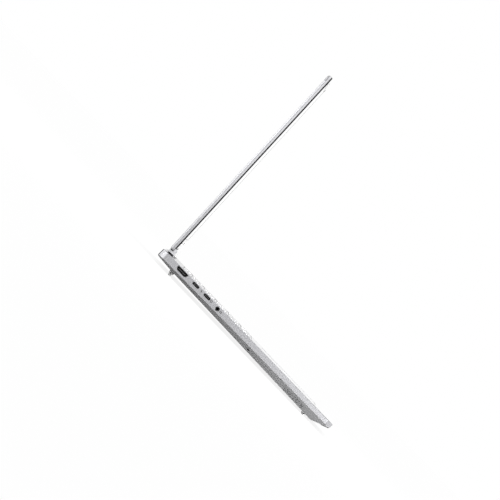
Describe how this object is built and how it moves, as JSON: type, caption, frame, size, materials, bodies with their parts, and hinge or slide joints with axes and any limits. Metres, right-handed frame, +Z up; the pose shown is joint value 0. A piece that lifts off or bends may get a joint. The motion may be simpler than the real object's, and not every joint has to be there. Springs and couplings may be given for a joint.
{
  "type": "laptop computer",
  "caption": "Open clamshell laptop computer: thin metal base with keyboard, touchpad and side sockets, and a hinged lid that holds the display.",
  "frame": {"origin": "on the desk, under the middle of the open laptop's outline", "axes": "+X to the user's right, +Y to the rear, +Z up"},
  "size_m": [0.359, 0.2632, 0.2631],
  "materials": {
    "case_metal": "bead-blasted, satin",
    "cover_metal": "bead-blasted, satin, darker",
    "hinge_metal": "satin, brighter",
    "rubber": "matte",
    "black_rubber": "matte",
    "black_plastic": "fine matte grain",
    "frame_plastic": "fine matte grain",
    "key_plastic": "satin silver coat",
    "pad_face": "smooth satin",
    "screen": "glossy, switched off",
    "steel": "plain",
    "socket_metal": "dark plating",
    "inner_metal": "plain sheet",
    "circuit_board": "solder mask",
    "chip": "matte",
    "copper": "plain copper",
    "inner_plastic": "matte",
    "battery_wrap": "film",
    "lens_glass": "polished",
    "cable_jacket": "woven sleeve",
    "membrane": "milky film"
  },
  "bodies": {
    "base": {"top_case": "case_metal", "bottom_cover": "cover_metal", "rear_foot": "rubber", "front_feet": "rubber", "bottom_screws": "steel", "keyboard_frame": "frame_plastic", "keyboard_membrane": "membrane", "keyboard_plate": "inner_metal", "touchpad_bracket": "inner_metal", "motherboard": "circuit_board", "processor": "chip", "heat_pipe": "copper", "heat_sink": "inner_metal", "fan_housing": "inner_plastic", "battery_pack": "battery_wrap", "solid_state_drive": "circuit_board", "memory_module": "circuit_board", "wireless_card": "circuit_board", "speakers": "inner_plastic", "display_socket": "socket_metal", "data_sockets": "socket_metal", "audio_jack": "inner_plastic", "wide_sockets": "socket_metal", "side_board": "circuit_board", "hinge_brackets": "steel", "display_cable_tail": "cable_jacket"},
    "lid": {"lid_cover": "case_metal", "display_bezel": "black_plastic", "display_panel": "screen", "lid_bumpers": "black_rubber", "hinge_cover": "hinge_metal", "hinge_strip": "black_plastic", "camera_module": "inner_plastic", "camera_lens": "lens_glass", "hinge_arms": "steel", "hinge_pins": "steel", "hinge_washers": "steel", "display_cable": "cable_jacket"},
    "shutter": {"camera_shutter": "inner_plastic"},
    "touchpad": {"touchpad": "pad_face"},
    "rotor": {"fan_rotor": "inner_plastic"},
    "function_keys": {"function_keys": "key_plastic"},
    "power_key": {"power_key": "key_plastic"},
    "number_keys": {"number_keys": "key_plastic"},
    "backspace_key": {"backspace_key": "key_plastic"},
    "tab_key": {"tab_key": "key_plastic"},
    "upper_letter_keys": {"upper_letter_keys": "key_plastic"},
    "backslash_key": {"backslash_key": "key_plastic"},
    "caps_key": {"caps_key": "key_plastic"},
    "home_letter_keys": {"home_letter_keys": "key_plastic"},
    "enter_key": {"enter_key": "key_plastic"},
    "left_shift_key": {"left_shift_key": "key_plastic"},
    "lower_letter_keys": {"lower_letter_keys": "key_plastic"},
    "right_shift_key": {"right_shift_key": "key_plastic"},
    "modifier_keys": {"modifier_keys": "key_plastic"},
    "space_bar": {"space_bar": "key_plastic"},
    "left_arrow_key": {"left_arrow_key": "key_plastic"},
    "up_arrow_key": {"up_arrow_key": "key_plastic"},
    "down_arrow_key": {"down_arrow_key": "key_plastic"},
    "right_arrow_key": {"right_arrow_key": "key_plastic"}
  },
  "joints": [
    {"name": "lid_hinge", "type": "hinge", "parent": "base", "child": "lid", "pos_m": [0, 0.11272, 0.0191], "axis": [-1, 0, 0], "range_deg": [-93.7, 56.3]},
    {"name": "shutter_slide", "type": "slide", "parent": "lid", "child": "shutter", "axis": [-1, 0, 0], "range_m": [0, 0.006]},
    {"name": "touchpad_click", "type": "hinge", "parent": "base", "child": "touchpad", "pos_m": [0, -0.02668, 0.01405], "axis": [1, 0, 0], "range_deg": [0, 0.36], "stiffness_Nm_per_rad": 19, "springref_deg": -0.11},
    {"name": "fan_spin", "type": "hinge", "parent": "base", "child": "rotor", "pos_m": [0.092, 0.06632, 0.0087], "axis": [0, 0, 1], "continuous": true},
    {"name": "function_keys_press", "type": "slide", "parent": "base", "child": "function_keys", "axis": [0, 0, -1], "range_m": [0, 0.0014], "stiffness_N_per_m": 5600, "springref_m": -0.0002},
    {"name": "power_key_press", "type": "slide", "parent": "base", "child": "power_key", "axis": [0, 0, -1], "range_m": [0, 0.0014], "stiffness_N_per_m": 400, "springref_m": -0.0002},
    {"name": "number_keys_press", "type": "slide", "parent": "base", "child": "number_keys", "axis": [0, 0, -1], "range_m": [0, 0.0014], "stiffness_N_per_m": 5200, "springref_m": -0.0002},
    {"name": "backspace_key_press", "type": "slide", "parent": "base", "child": "backspace_key", "axis": [0, 0, -1], "range_m": [0, 0.0014], "stiffness_N_per_m": 400, "springref_m": -0.0002},
    {"name": "tab_key_press", "type": "slide", "parent": "base", "child": "tab_key", "axis": [0, 0, -1], "range_m": [0, 0.0014], "stiffness_N_per_m": 400, "springref_m": -0.0002},
    {"name": "upper_letter_keys_press", "type": "slide", "parent": "base", "child": "upper_letter_keys", "axis": [0, 0, -1], "range_m": [0, 0.0014], "stiffness_N_per_m": 4800, "springref_m": -0.0002},
    {"name": "backslash_key_press", "type": "slide", "parent": "base", "child": "backslash_key", "axis": [0, 0, -1], "range_m": [0, 0.0014], "stiffness_N_per_m": 400, "springref_m": -0.0002},
    {"name": "caps_key_press", "type": "slide", "parent": "base", "child": "caps_key", "axis": [0, 0, -1], "range_m": [0, 0.0014], "stiffness_N_per_m": 400, "springref_m": -0.0002},
    {"name": "home_letter_keys_press", "type": "slide", "parent": "base", "child": "home_letter_keys", "axis": [0, 0, -1], "range_m": [0, 0.0014], "stiffness_N_per_m": 4400, "springref_m": -0.0002},
    {"name": "enter_key_press", "type": "slide", "parent": "base", "child": "enter_key", "axis": [0, 0, -1], "range_m": [0, 0.0014], "stiffness_N_per_m": 400, "springref_m": -0.0002},
    {"name": "left_shift_key_press", "type": "slide", "parent": "base", "child": "left_shift_key", "axis": [0, 0, -1], "range_m": [0, 0.0014], "stiffness_N_per_m": 400, "springref_m": -0.0002},
    {"name": "lower_letter_keys_press", "type": "slide", "parent": "base", "child": "lower_letter_keys", "axis": [0, 0, -1], "range_m": [0, 0.0014], "stiffness_N_per_m": 4000, "springref_m": -0.0002},
    {"name": "right_shift_key_press", "type": "slide", "parent": "base", "child": "right_shift_key", "axis": [0, 0, -1], "range_m": [0, 0.0014], "stiffness_N_per_m": 400, "springref_m": -0.0002},
    {"name": "modifier_keys_press", "type": "slide", "parent": "base", "child": "modifier_keys", "axis": [0, 0, -1], "range_m": [0, 0.0014], "stiffness_N_per_m": 2800, "springref_m": -0.0002},
    {"name": "space_bar_press", "type": "slide", "parent": "base", "child": "space_bar", "axis": [0, 0, -1], "range_m": [0, 0.0014], "stiffness_N_per_m": 400, "springref_m": -0.0002},
    {"name": "left_arrow_key_press", "type": "slide", "parent": "base", "child": "left_arrow_key", "axis": [0, 0, -1], "range_m": [0, 0.0014], "stiffness_N_per_m": 400, "springref_m": -0.0002},
    {"name": "up_arrow_key_press", "type": "slide", "parent": "base", "child": "up_arrow_key", "axis": [0, 0, -1], "range_m": [0, 0.0014], "stiffness_N_per_m": 400, "springref_m": -0.0002},
    {"name": "down_arrow_key_press", "type": "slide", "parent": "base", "child": "down_arrow_key", "axis": [0, 0, -1], "range_m": [0, 0.0014], "stiffness_N_per_m": 400, "springref_m": -0.0002},
    {"name": "right_arrow_key_press", "type": "slide", "parent": "base", "child": "right_arrow_key", "axis": [0, 0, -1], "range_m": [0, 0.0014], "stiffness_N_per_m": 400, "springref_m": -0.0002}
  ]
}
